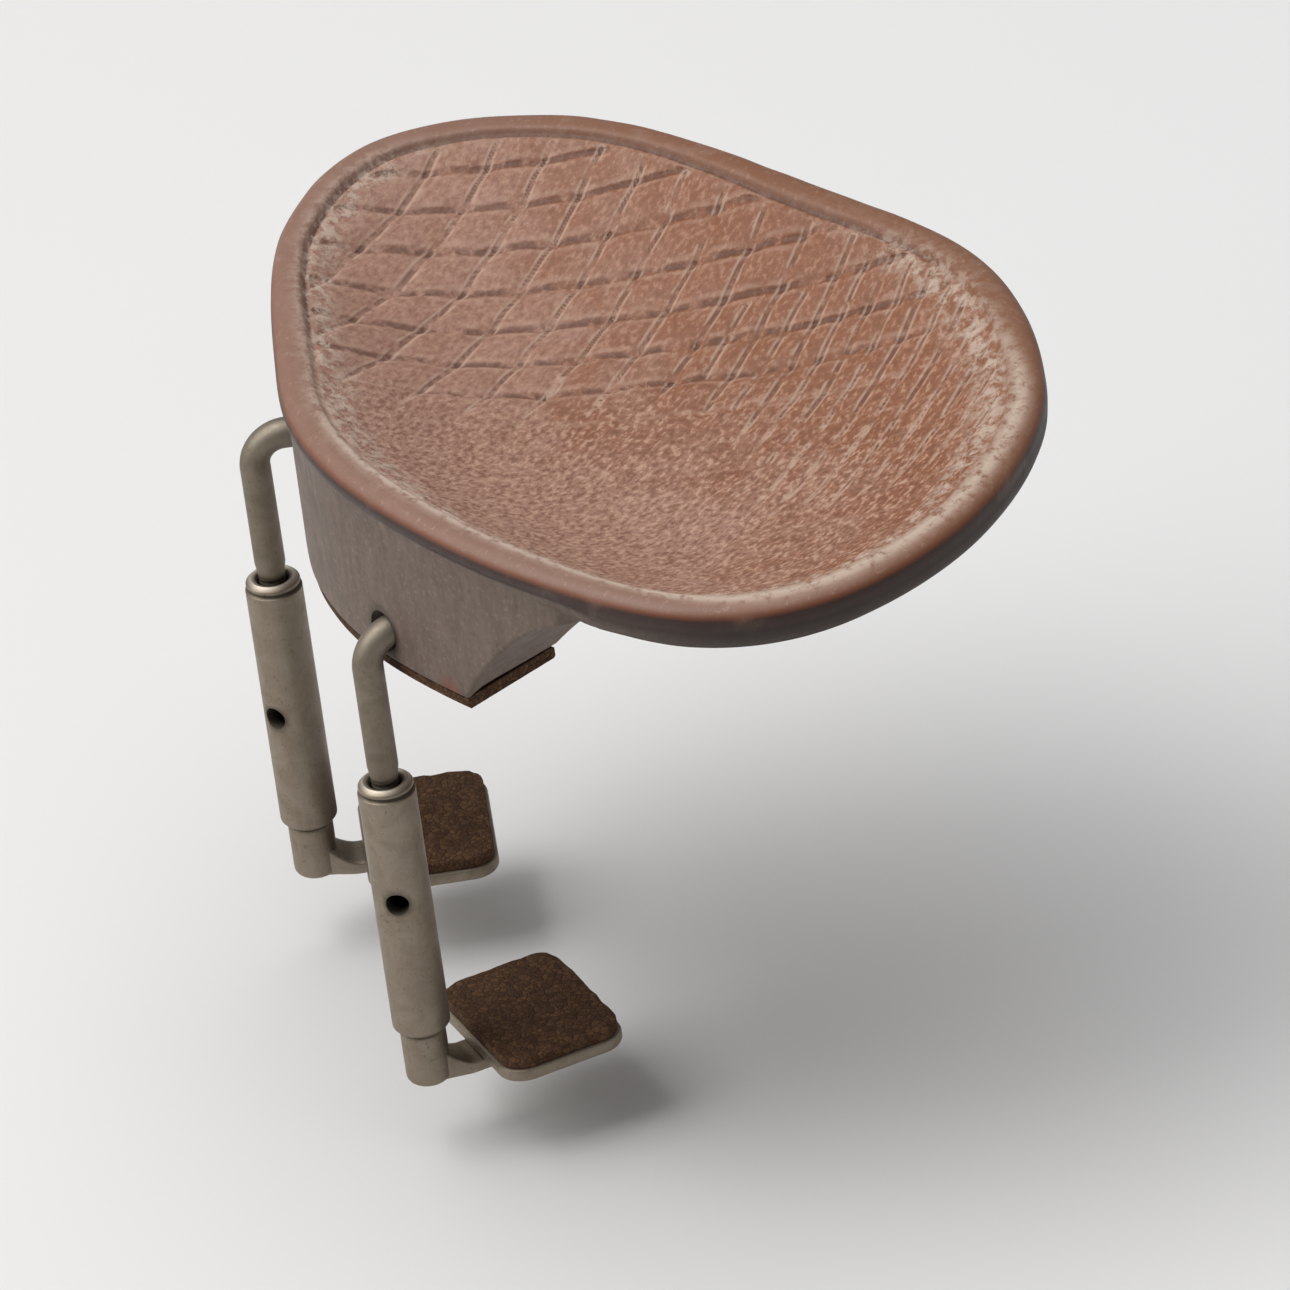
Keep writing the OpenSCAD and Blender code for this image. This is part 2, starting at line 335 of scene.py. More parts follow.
def piece(shape, body, node, slot, sharp=35):
    """Finishes one piece of the object: shading, material, body, CAD node and slot."""
    mesh = shape.data
    mesh.polygons.foreach_set("use_smooth", [True] * len(mesh.polygons))
    mesh.set_sharp_from_angle(angle=math.radians(sharp))
    mesh.materials.clear()
    mesh.materials.append(finishes[slot])
    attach(shape, body)
    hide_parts(node)


def coordinates(mesh):
    """All of a mesh's points, in millimetres."""
    out = np.zeros(len(mesh.vertices) * 3)
    mesh.vertices.foreach_get("co", out)
    return out.reshape(-1, 3) / MM


def attribute(mesh, name, values):
    """Stores a number for each point, for the material to read."""
    values = np.broadcast_to(values, len(mesh.vertices)).astype(np.float32)
    layer = mesh.attributes.new(name, "FLOAT", "POINT")
    layer.data.foreach_set("value", values)


# ---- Material tools ----

def srgb(r, g, b):
    """A linear colour from sRGB values of 0 to 255."""
    return tuple(((v / 255 + 0.055) / 1.055) ** 2.4 if v > 10 else v / 255 / 12.92
                 for v in (r, g, b)) + (1.0,)


class Surface:
    """A material and short ways to add nodes to it. Scales are given as sizes in mm."""

    def __init__(self, name):
        self.material = bpy.data.materials.new(name)
        self.material.use_nodes = True
        self.tree = self.material.node_tree
        self.shader = self.tree.nodes["Principled BSDF"]
        self.place = self.tree.nodes.new("ShaderNodeTexCoord").outputs["Object"]

    def link(self, value, socket):
        """Sets a socket to a number or colour, or links it to another node's output."""
        if isinstance(value, bpy.types.NodeSocket):
            self.tree.links.new(value, socket)
        else:
            socket.default_value = value

    def node(self, kind, inputs=None, **settings):
        """A new node, with its inputs set or linked."""
        made = self.tree.nodes.new("ShaderNode" + kind)
        for key, value in settings.items():
            setattr(made, key, value)
        for key, value in (inputs or {}).items():
            self.link(value, made.inputs[key])
        return made

    def stretched(self, z):
        """The object's coordinates with their height scaled by z."""
        return self.node("Mapping", {"Vector": self.place, "Scale": (1, 1, z)}).outputs["Vector"]

    def drawn_out(self, direction, times):
        """The object's coordinates, for a texture drawn out along a level direction."""
        return self.node("Mapping", {
            "Vector": self.place, "Rotation": (0, 0, direction), "Scale": (times, 1, 1)},
            vector_type="TEXTURE").outputs["Vector"]

    def noise(self, size, detail=2.0, roughness=0.5, distortion=0.0, place=None):
        return self.node("TexNoise", {
            "Vector": place or self.place, "Scale": 1 / (size * MM), "Detail": detail,
            "Roughness": roughness, "Distortion": distortion}).outputs["Fac"]

    def cells(self, size, feature="F1", output="Distance"):
        return self.node("TexVoronoi", {"Vector": self.place, "Scale": 1 / (size * MM)},
                         feature=feature).outputs[output]

    def ramp(self, value, low, high, reverse=False):
        """A smooth rise from 0 to 1, or a fall, as the value goes from low to high."""
        ends = (1.0, 0.0) if reverse else (0.0, 1.0)
        return self.node("MapRange", {
            "Value": value, "From Min": low, "From Max": high,
            "To Min": ends[0], "To Max": ends[1]},
            interpolation_type="SMOOTHSTEP", clamp=True).outputs["Result"]

    def math(self, operation, a, b=0.0):
        return self.node("Math", {0: a, 1: b}, operation=operation).outputs["Value"]

    def product(self, *values):
        out = values[0]
        for value in values[1:]:
            out = self.math("MULTIPLY", out, value)
        return out

    def total(self, *values):
        out = values[0]
        for value in values[1:]:
            out = self.math("ADD", out, value)
        return out

    def mix(self, share, a, b):
        """Colour a turning into colour b as the share goes from 0 to 1."""
        return self.node("Mix", {0: share, 6: a, 7: b}, data_type="RGBA").outputs[2]

    def over(self, base, colour, *shares):
        """An sRGB colour laid over a base, as strongly as the product of the shares."""
        return self.mix(self.product(*shares), base, srgb(*colour))

    def read(self, name):
        """A number that the mesh stores for each point."""
        return self.node("Attribute", attribute_name=name).outputs["Fac"]

    def bump(self, height, depth, strength):
        """Stacks a bump on the shader. depth is the height in mm that a value of 1 stands for."""
        made = self.node("Bump", {"Height": height, "Distance": depth * MM, "Strength": strength})
        before = self.shader.inputs["Normal"].links
        if before:
            self.tree.links.new(before[0].from_socket, made.inputs["Normal"])
        self.tree.links.new(made.outputs["Normal"], self.shader.inputs["Normal"])

    def finish(self, **inputs):
        """Sets the shader's own sockets and gives back the material."""
        for key, value in inputs.items():
            self.link(value, self.shader.inputs[key.replace("_", " ")])
        return self.material


# ---- Materials ----

def moulding_material():
    """Old brown hard rubber: matt, with a pinkish bloom, worn grain and scuffs along the rim."""
    s = Surface("aged_moulding")
    grain = s.noise(0.50, detail=3.0, roughness=0.6, place=s.drawn_out(B_DIRECTION, 1.7))
    fine = s.noise(0.16, detail=2.0, roughness=0.6)
    patches = s.noise(7.0, detail=4.0, roughness=0.6, distortion=0.6)
    smears = s.noise(2.2, detail=3.0, roughness=0.6, distortion=0.4)
    bloom = s.read("bloom")
    worn = s.read("worn")
    rim = s.read("rim")
    line_a = s.read("line_a")
    line_b = s.read("line_b")

    # The dish: brown under a pinkish bloom, with its grain worn light and dark
    base = s.mix(s.ramp(s.total(bloom, s.product(patches, 0.9)), 0.65, 1.25),
                 srgb(137, 89, 63), srgb(158, 120, 104))
    base = s.over(base, (128, 88, 70), s.ramp(smears, 0.52, 0.75), 0.35)
    base = s.over(base, (190, 155, 133), s.ramp(grain, 0.50, 0.66),
                  s.total(s.product(worn, 0.52), 0.22))
    base = s.over(base, (104, 67, 50), s.ramp(grain, 0.36, 0.50, reverse=True),
                  s.total(s.product(worn, 0.34), 0.26))

    # The lattice: painted shade in the grooves, with painted highlights on the lit edges beside them
    groove_a = s.ramp(line_a, 0.10, 0.58, reverse=True)
    groove_b = s.ramp(line_b, 0.10, 0.36, reverse=True)
    lit_edge_b = s.product(s.ramp(line_b, 0.16, 0.30), s.ramp(line_b, 0.34, 0.62, reverse=True))
    lit_edge_a = s.product(s.ramp(line_a, 0.45, 0.70), s.ramp(line_a, 0.80, 1.30, reverse=True))
    broken = s.ramp(s.noise(1.6, detail=2.0), 0.34, 0.58)
    base = s.over(base, (86, 55, 43), groove_a, broken, 0.70)
    base = s.over(base, (94, 61, 47), groove_b, broken, 0.55)
    base = s.over(base, (190, 160, 142), lit_edge_b, broken, 0.62)
    base = s.over(base, (182, 150, 132), lit_edge_a, broken, 0.32)

    # The rim's band, the worn line and the scuffs along it
    band = s.mix(s.ramp(s.total(bloom, s.product(patches, 0.6)), 0.5, 1.1),
                 srgb(130, 88, 65), srgb(136, 103, 88))
    band = s.over(band, (150, 122, 106), s.ramp(smears, 0.50, 0.72), 0.35)
    band = s.over(band, (176, 148, 132), s.ramp(grain, 0.56, 0.74), 0.35)
    base = s.mix(rim, base, band)
    flakes = s.noise(1.2, detail=5.0, roughness=0.72, distortion=0.3)
    base = s.over(base, (204, 184, 168), s.read("worn_line"), s.ramp(flakes, 0.30, 0.52), 0.85)
    base = s.over(base, (80, 50, 38), s.read("step_line"), s.ramp(smears, 0.10, 0.40), 0.85)
    crust = s.product(s.read("scuff"), s.ramp(flakes, 0.41, 0.61))
    base = s.over(base, (194, 175, 160), crust, 0.80)

    # The faded grey-brown flank and underside, and the rim's reddish line with painted shade below it
    streaks = s.noise(0.9, detail=4.0, roughness=0.6, place=s.stretched(0.2))
    faded = s.mix(s.ramp(streaks, 0.25, 0.80), srgb(100, 84, 75), srgb(117, 101, 90))
    faded = s.over(faded, (88, 74, 68), s.ramp(patches, 0.50, 0.72), 0.45)
    faded = s.over(faded, (140, 126, 115), s.ramp(grain, 0.54, 0.74), 0.50)
    faded = s.over(faded, (78, 64, 57), s.ramp(grain, 0.28, 0.44, reverse=True), 0.45)
    base = s.mix(s.read("side"), base, faded)
    # The rim's own orange-brown line, going over into painted shade under the rim's lip
    rim_line_and_lip_shade = s.mix(s.read("edge_low"), srgb(118, 68, 45), srgb(46, 26, 20))
    base = s.mix(s.product(s.read("edge"), s.ramp(patches, 0.15, 0.45), 0.92), base, rim_line_and_lip_shade)
    # Painted shade on the plate's side towards its right end
    base = s.over(base, (48, 36, 31), s.read("shaded"), 0.85)
    base = s.over(base, (126, 66, 44), s.read("chip"), 0.9)
    # Painted shade round the hooks' arms where they go into the stand
    base = s.over(base, (34, 27, 24), s.read("shade_and_tarnish"), 0.85)

    s.bump(fine, 0.035, 0.5)
    s.bump(grain, 0.10, s.total(s.product(worn, 0.55), 0.25))
    s.bump(s.math("SUBTRACT", 1.0, s.product(groove_a, broken)), 0.16, 0.8)
    s.bump(s.math("SUBTRACT", 1.0, s.product(groove_b, broken)), 0.12, 0.7)
    s.bump(crust, 0.10, 0.6)
    rough = s.total(0.50, s.product(smears, 0.20), s.product(rim, -0.10), s.product(crust, 0.2))
    return s.finish(Base_Color=base, Roughness=rough, Specular_IOR_Level=0.42)


def nickel_material():
    """Tarnished nickel plate: dull and warm grey, with brownish film, spots and hairlines, and painted shade in
    gaps, bores and grooves.
    """
    s = Surface("tarnished_nickel")
    film = s.noise(3.0, detail=5.0, roughness=0.65, distortion=0.8)
    spots = s.noise(0.35, detail=3.0, roughness=0.6)
    hairs = s.noise(0.25, detail=3.0, roughness=0.7, place=s.stretched(0.05))
    shade_and_tarnish = s.read("shade_and_tarnish")
    base = s.mix(s.ramp(film, 0.25, 0.75), srgb(150, 139, 124), srgb(136, 123, 107))
    base = s.over(base, (88, 76, 63), s.ramp(spots, 0.58, 0.76), 0.50)
    base = s.over(base, (176, 167, 152), s.ramp(hairs, 0.55, 0.72), 0.20)
    # Worn bright places, with a painted highlight on the barrels' top faces; then tarnish, and painted shade in
    # bores, grooves, key holes and seams
    base = s.over(base, (212, 203, 188), s.read("worn"), 0.80)
    base = s.over(base, (38, 32, 27), shade_and_tarnish, 0.92)
    s.bump(spots, 0.02, 0.4)
    s.bump(hairs, 0.012, 0.4)
    s.bump(film, 0.12, 0.35)
    rough = s.total(0.34, s.product(film, 0.22), s.product(spots, 0.12), s.product(shade_and_tarnish, 0.25))
    return s.finish(Base_Color=base, Roughness=rough, Metallic=0.86, Specular_IOR_Level=0.5)


def cork_material():
    """Dark sheet cork: packed grains of two browns, with darker gaps and spots."""
    s = Surface("dark_cork")
    tint = s.node("SeparateColor", {"Color": s.cells(0.6, output="Color")}).outputs[0]
    gaps = s.cells(0.6, feature="DISTANCE_TO_EDGE")
    fine = s.noise(0.3, detail=4.0, roughness=0.65)
    base = s.mix(tint, srgb(74, 51, 35), srgb(104, 75, 51))
    base = s.over(base, (54, 37, 26), s.ramp(fine, 0.40, 0.66), 0.55)
    base = s.over(base, (50, 33, 23), s.ramp(gaps, 0.02, 0.10, reverse=True), 0.6)
    s.bump(s.ramp(gaps, 0.0, 0.2), 0.10, 0.7)
    s.bump(fine, 0.06, 0.6)
    return s.finish(Base_Color=base, Roughness=0.88, Specular_IOR_Level=0.25)


finishes = {"moulding": moulding_material(), "nickel": nickel_material(),
            "cork": cork_material()}


# ---- Chin plate ----

def inward_at(u, step):
    """Unit vectors square to the outline at u, pointing into the cup."""
    along = catmull_rom(CUP_POINTS, u + step) - catmull_rom(CUP_POINTS, u - step)
    return np.column_stack([-along[:, 1], along[:, 0]]) / np.hypot(*along.T)[:, None]


STEPS = 60  # stations in each span
stations = np.arange(SPANS * STEPS) / STEPS
outline = catmull_rom(CUP_POINTS, stations)
inward_normal = inward_at(stations, 1 / STEPS)
from_centre = outline - CUP_CENTRE
outline_radius = np.hypot(*from_centre.T)
outward = from_centre / outline_radius[:, None]
outline_angle = np.unwrap(np.arctan2(outward[:, 1], outward[:, 0]))


def radius_towards(x, y):
    """The outline's distance from the cup's centre, in the direction of a point."""
    angle = np.arctan2(y - CUP_CENTRE[1], x - CUP_CENTRE[0])
    angle = outline_angle[0] + np.mod(angle - outline_angle[0], 2 * math.pi)
    angles = np.append(outline_angle, outline_angle[0] + 2 * math.pi)
    radii = np.append(outline_radius, outline_radius[0])
    return np.interp(angle, angles, radii)


def rim_z(x):
    """The height of the rim's top."""
    return RIM_H - RIM_DROP * smoothstep(FALL_FROM, FALL_TO, x)


def dish_z(x, y):
    """The height of the dish under the rim's level, before the step down from the rim."""
    q = np.hypot(x - CUP_CENTRE[0], y - CUP_CENTRE[1]) / (radius_towards(x, y) - RIM_W)
    return rim_z(x) - DISH_DEPTH * (1 - np.minimum(q, 1) ** DISH_POWER)


def raised(xy, z):
    """Points at one height, or a height each, above plan points."""
    return np.column_stack([xy, np.broadcast_to(z, len(xy))])


def dish_ring(q, dz, every=1):
    """A ring in the dish, at the share q of the way from its centre to its edge."""
    xy = (CUP_CENTRE + (outline - outward * RIM_W - CUP_CENTRE) * q)[::every]
    return raised(xy, dish_z(*xy.T) + dz)


def rim_ring(inset, dz):
    """A ring on the rim, at an inset from the outline and dz above its top."""
    xy = outline - outward * inset
    return raised(xy, rim_z(xy[:, 0]) + dz)


def spread(first, last, count, crowd=1.0):
    """Numbers between two ends, closer together towards the last one if crowd is over 1."""
    t = np.linspace(0, 1, count)
    return first + (last - first) * (1 - (1 - t) ** crowd)


def stand_ends():
    """For each station: how far the stand's foot has arched up to the plate, how much of a
    stand is left, and how much the way inwards is square to the outline rather than towards
    the cup's centre."""
    u = np.where(stations > SPANS / 2, stations - SPANS, stations)
    past = np.maximum(np.maximum(FOOT_FROM - u, u - FOOT_TO), 0) / ARCH
    s = np.minimum(past, 1)
    arch = 1 - (1 - s) ** 2
    return arch, 1 - smoothstep(0.70, 1.0, s)[:, None], 1 - smoothstep(0, 1.7, past)[:, None]


def under_side(inset, way):
    """Points of the plain underside at an inset from the outline."""
    xy = outline + way * inset
    return raised(xy, dish_z(*xy.T) - PLATE_T - RIM_STEP)


def lower_rings():
    """Rings from the rim's side down to the inner end of the stand, at every station."""
    arch, stand, square = stand_ends()
    way = inward_normal * square - outward * (1 - square)
    way /= np.hypot(*way.T)[:, None]
    plain_rim = catmull_rom([[0, -1.5], [0, -2.8], [0.5, -3.8], [1.6, -4.2]],
                            np.linspace(0, 2.999, 6), closed=False)
    stand_rim = np.array([[0.0, -1.3], [0.05, -1.7], [0.22, -1.95], [0.42, -2.15],
                          [0.47, -2.5], [0.48, -2.9]])
    rings = []
    for plain, lip in zip(plain_rim, stand_rim):
        rings.append(rim_ring(*plain) * (1 - stand) + rim_ring(*lip) * stand)
    top = rings[-1][:, 2]
    inner_top = under_side(STAND_INNER + FILLET, way)

    def foot(inset, lift=0.0):
        """The foot's height at an inset: level, then arching up to the plate's underside."""
        under = under_side(inset, way)[:, 2] + lift
        return STAND_CORK_T + (under - STAND_CORK_T) * arch

    outer_foot = foot(STAND_OUTER, lift=EDGE_R)
    # Flank, foot and inner wall: the inset, the part of the way down (or the angle on a
    # rounded edge), and the part's name
    wall = [(STAND_OUTER + STAND_LEAN * 0.3 * (1 - t), t, "flank")
            for t in np.linspace(0.06, 0.97, 14)]
    wall += [(STAND_OUTER + EDGE_R * (1 - math.cos(a)), a, "outer_edge")
             for a in np.linspace(0.15, 1.0, 5) * math.pi / 2]
    wall += [(inset, 1.0, "foot") for inset in np.linspace(2.0, STAND_INNER - 1.5, 6)]
    wall += [(STAND_INNER - EDGE_R * (1 - math.cos(a)), a, "inner_edge")
             for a in np.linspace(1.0, 0.1, 5) * math.pi / 2]
    for t in np.linspace(0.92, 0.0, 14):
        flare = FILLET * smoothstep(0.45, 0.0, t) ** 1.5 + STAND_LEAN * (1 - t)
        wall.append((STAND_INNER + flare, t, "inner_wall"))
    count = len(wall)
    for k, (inset, t, part) in enumerate(wall):
        xy = outline + way * inset
        if part == "flank":
            z = top + (outer_foot + EDGE_R - top) * t
        elif part == "outer_edge":
            z = outer_foot + EDGE_R * (1 - math.sin(t))
        elif part == "inner_edge":
            z = foot(inset) + EDGE_R * (1 - math.sin(t))
        elif part == "foot":
            z = foot(inset)
        else:
            z = inner_top[:, 2] * (1 - t) + (foot(STAND_INNER) + EDGE_R) * t
        if part not in ("flank", "outer_edge"):
            z = np.minimum(z, under_side(inset, way)[:, 2])
        on_stand = raised(xy, z)
        plain_inset = 1.8 + (STAND_INNER + FILLET - 1.8) * k / (count - 1)
        rings.append(under_side(plain_inset, way) * (1 - stand) + on_stand * stand)
    return rings


def chin_plate_rings():
    """All rings: the dish from its middle, the rim, the stand, and the underside."""
    rings = [dish_ring(q, -RIM_STEP, every=4) for q in spread(0.02, 0.24, 12)]
    rings += [dish_ring(q, -RIM_STEP, every=2) for q in spread(0.25, 0.49, 26)]
    rings += [dish_ring(q, -RIM_STEP) for q in spread(0.50, 0.995, 58, crowd=1.25)]
    bead = [[3.55, -0.50], [3.42, -0.42], [3.30, -0.26], [3.12, -0.12], [2.80, -0.02],
            [2.30, 0.0], [1.70, 0.0], [1.20, -0.06], [0.78, -0.20], [0.42, -0.42],
            [0.18, -0.72], [0.04, -1.05]]
    rings += [rim_ring(*point) for point in bead]
    lower = lower_rings()
    rings += lower[:4]
    rings += [ring[::2] for ring in lower[4:25]]
    rings += [ring[::4] for ring in lower[25:]]
    start = lower[-1][::4][:, :2]
    for t in spread(0.04, 0.97, 26):
        xy = start + (CUP_CENTRE - start) * t
        rings.append(raised(xy, dish_z(*xy.T) - PLATE_T - RIM_STEP))
    return rings


def far_of(x, y):
    """How far a point lies from the cup's centre towards its long far side."""
    return (x - CUP_CENTRE[0]) * FAR_WAY[0] + (y - CUP_CENTRE[1]) * FAR_WAY[1]


def right_of(x, y):
    """How far a point lies from the cup's centre towards its right end."""
    return (x - CUP_CENTRE[0]) * FAR_WAY[1] - (y - CUP_CENTRE[1]) * FAR_WAY[0]


def line_distance(x, y, direction, spacing, offset, seed, bend=0.0):
    """Distance to the nearest line of a family of parallel, slightly wavering lines.

    With a bend, the lines bow away from the far side where the dish climbs to its ends.
    """
    across = -math.sin(direction) * x + math.cos(direction) * y
    across_middle = np.minimum(np.abs(far_of(x, y)) / DISH_HALF, 1)
    climb = dish_z(x, y) - rim_z(x) + DISH_DEPTH * (1 - across_middle ** DISH_POWER)
    across += bend * climb
    for k, (length, amount) in enumerate(WAVER):
        across += amount * value_noise(x, y, length, seed + k)
    phase = (across - offset) / spacing
    return np.abs(phase - np.round(phase)) * spacing


def groove(distance, strength, depth, half_width):
    """How deep a lattice line lies at a distance from its middle."""
    return depth * strength * np.exp(-(distance / half_width) ** 2)


def dish_masks(x, y):
    """Where each family of lines is left, and where B has lines between, from 0 to 1."""
    right, far = right_of(x, y), far_of(x, y)
    wander = 3.0 * value_noise(x, y, 8.0, 11)
    keep_a = smoothstep(-3.0, 8.0, far + wander + 0.10 * right)
    keep_b = smoothstep(-6.0, 8.0, far + wander + 0.55 * np.maximum(right, 0))
    fine_b = smoothstep(4.0, 14.0, right + wander) * smoothstep(24.0, 12.0, np.abs(far + 4))
    return keep_a, keep_b, fine_b


def detail_chin_plate(mesh):
    """Adds the embossed lattice and the worn step line, and marks regions for the material."""
    co = coordinates(mesh)
    x, y, z = co.T
    inset = radius_towards(x, y) - np.hypot(x - CUP_CENTRE[0], y - CUP_CENTRE[1])
    top_surface = np.where(inset > RIM_W - 0.1, dish_z(x, y) - RIM_STEP, rim_z(x) - 1.2)
    top = (z > top_surface - 0.6) & (inset > -0.5)
    dish = smoothstep(RIM_W + 0.1, RIM_W + 0.9, inset) * top
    keep_a, keep_b, fine_b = dish_masks(x, y)
    near_a = line_distance(x, y, A_DIRECTION, A_SPACING, A_OFFSET, 3, bend=A_BEND)
    near_b = line_distance(x, y, B_DIRECTION, B_SPACING, B_OFFSET, 5)
    near_half = line_distance(x, y, B_DIRECTION, B_SPACING / 2, B_OFFSET, 5)
    strength_a = dish * keep_a
    strength_b = dish * np.maximum(keep_b, 0.9 * fine_b)
    near_b = np.where(fine_b > 0.5, np.minimum(near_b, near_half + 0.08), near_b)

    # Heights: pillowed diamonds between shallow grooves, over a slightly uneven dish
    lower = groove(near_a, strength_a, depth=0.20, half_width=0.55)
    lower += groove(near_b, strength_b, depth=0.17, half_width=0.45)
    lift = PILLOW_H * dish * (strength_a * smoothstep(0.4, 2.2, near_a)
                              + strength_b * smoothstep(0.4, 2.2, near_b))
    uneven = dish * (0.05 * value_noise(x, y, 4.0, 21) + 0.035 * value_noise(x, y, 1.3, 22))
    far = far_of(x, y)
    step_share = 0.35 + 0.65 * smoothstep(0.0, 18.0, far)
    step = STEP_LINE_DEPTH * top * step_share * np.exp(-((inset - RIM_W - 0.12) / 0.24) ** 2)
    rim_wave = top * (1 - dish) * 0.05 * value_noise(x, y, 3.0, 23)
    co[:, 2] += -lower + lift + uneven - step + rim_wave

    mesh.vertices.foreach_set("co", (co * MM).ravel())
    mesh.update()

    right = right_of(x, y)
    drop = rim_z(x) - z
    near_side = smoothstep(4.0, -16.0, far)
    right_end = smoothstep(20.0, 30.0, right)
    left_end = smoothstep(-10.0, -22.0, right)
    side = np.where(top & (inset > 1.2), 0.0, smoothstep(1.35, 1.7, drop))
    edge = smoothstep(0.3, 0.7, drop) * smoothstep(2.5, 2.1, drop) * smoothstep(1.0, 0.6, inset)
    scuffed = np.clip(0.2 + 0.8 * near_side + 0.9 * right_end + 1.0 * left_end, 0, 1)
    wide = 0.75 + 1.3 * right_end + 1.2 * left_end
    front = near_side * smoothstep(-4.0, 12.0, right)
    beside = np.exp(-((inset - RIM_W + 0.55 + 0.9 * front) / (0.60 + 0.25 * front)) ** 2)
    corner = np.array([*CHIPPED_CORNER, STAND_CORK_T])
    # A dark ring round each hook's arm where it enters the stand: painted shade in the hole and its countersunk
    # mouth
    shade_and_tarnish = np.zeros(len(co))
    for clamp in clamps.values():
        x_in = (x - clamp.axis[0]) * clamp.inward[0] + (y - clamp.axis[1]) * clamp.inward[1]
        across = (y - clamp.axis[1]) * clamp.inward[0] - (x - clamp.axis[0]) * clamp.inward[1]
        reach = np.hypot(across, z - ARM_Z)
        shade_and_tarnish = np.maximum(shade_and_tarnish, smoothstep(2.6, 1.7, reach) * (x_in < 8))

    # The material reads line distances that grow where a line is worn away
    regions = {
        "line_a": near_a + WORN_AWAY * (1 - strength_a),
        "line_b": near_b + WORN_AWAY * (1 - strength_b),
        "worn": dish * (1 - 0.75 * np.maximum(keep_a, 0.6 * keep_b)),
        "bloom": np.clip(0.45 - right / 55 + 0.30 * near_side, 0, 1),
        "rim": top * smoothstep(RIM_W + 0.3, RIM_W - 0.3, inset),
        "side": side,
        "edge": edge,
        # where the rim's line gives way to painted shade under the lip
        "edge_low": smoothstep(0.65, 1.05, drop),
        "step_line": step / STEP_LINE_DEPTH * smoothstep(0.35, 0.9, step_share),
        "shaded": side * smoothstep(-12.0, 8.0, right) * smoothstep(6.5, 4.0, drop),
        "worn_line": top * beside * np.clip(near_side + 0.2 * left_end, 0, 1),
        "scuff": top * scuffed * np.exp(-((inset - RIM_W - 0.1 - 0.6 * wide) / wide) ** 2),
        "chip": smoothstep(2.2, 0.6, np.sqrt(((co - corner) ** 2).sum(1))),
        "shade_and_tarnish": shade_and_tarnish}
    for name, values in regions.items():
        attribute(mesh, name, values)


def hook_hole(clamp, flank):
    """The hole for a hook's arm with its countersunk mouth, as a solid to cut. flank is the
    distance of the stand's flank from the clamp's axis."""
    mouth_r = HOOK_HOLE_R + COUNTERSINK
    stops = ((HOOK_HOLE_END, HOOK_HOLE_R), (flank + COUNTERSINK, HOOK_HOLE_R), (flank, mouth_r),
             (flank - 1.5, mouth_r + 0.3))
    return build("cutter", *loft([circle_at(clamp, x, ARM_Z, -90, r, sides=48)
                                  for x, r in stops]))


def flank_distance(shape, clamp):
    """How far the stand's flank lies from a clamp's axis, at the height of the hook's arm."""
    bpy.context.view_layer.update()
    start = Vector(clamp.place([[0.0, 0.0, ARM_Z]])[0]) * MM
    found, point, _, _ = shape.ray_cast(start, Vector((*clamp.inward, 0.0)))
    if not found:
        raise RuntimeError("the hook's arm misses the stand")
    return (point - start).length / MM


def make_chin_plate():
    shape = build("chin_plate_moulding", *loft(chin_plate_rings()))
    for clamp in clamps.values():
        combine(shape, hook_hole(clamp, flank_distance(shape, clamp)))
    detail_chin_plate(shape.data)
    piece(shape, "chin_rest", "chin_plate", "moulding", sharp=50)


make_chin_plate()


# ---- Cork linings ----

def make_stand_cork():
    """The lining under the stand's foot, with a crumbly edge."""
    inside = np.linspace(FOOT_FROM, FOOT_TO, 181)
    middle = catmull_rom(CUP_POINTS, inside)
    normal = inward_at(inside, 0.02)
    bevel = 0.18
    first, last = STAND_OUTER + CORK_INSET, STAND_INNER - CORK_INSET
    section = [(first + bevel, STAND_CORK_T), (first, STAND_CORK_T - bevel), (first, bevel),
               (first + bevel, 0.0)]
    section += [(inset, 0.0) for inset in np.linspace(first + 0.8, last - 0.8, 24)]
    section += [(last - bevel, 0.0), (last, bevel), (last, STAND_CORK_T - bevel),
                (last - bevel, STAND_CORK_T)]
    rings = []
    for k in range(len(inside)):
        rings.append(np.array([[*(middle[k] + normal[k] * inset), z]
                               for inset, z in section[::-1]]))
    points, faces = loft(rings)
    x, y, z = points.T
    crumbs = 0.05 * value_noise(x + 3 * z, y - 2 * z, 0.9, 31)
    crumbs += 0.04 * value_noise(x - z, y + z, 0.45, 32)
    points[:, 2] = np.clip(z + crumbs * (z < 0.5) + 0.05 * (z < 0.5), 0.0, STAND_CORK_T)
    points[:, 0] += crumbs
    points[:, 1] -= crumbs
    piece(build("stand_lining", points, faces), "chin_rest", "stand_cork", "cork")


make_stand_cork()


def foot_outline(inset):
    """A foot's plan: a rectangle with round corners and points along its sides."""
    low, high = FOOT_X + inset, FOOT_X + FOOT_W - inset
    half = FOOT_LEN / 2 - inset
    radius = CORNER_R - inset
    arcs = []
    for x, y, start in ((high, half, 0), (low, half, 90), (low, -half, 180), (high, -half, 270)):
        middle = np.array([x - math.copysign(radius, x - RIVET_X), y - math.copysign(radius, y)])
        a = np.radians(np.linspace(start, start + 90, 9))
        arcs.append(middle + radius * np.column_stack([np.cos(a), np.sin(a)]))
    out = []
    for arc, following in zip(arcs, arcs[1:] + arcs[:1]):
        out += [arc, arc[-1] + (following[0] - arc[-1]) * np.linspace(0, 1, 10)[1:-1, None]]
    return np.vstack(out)


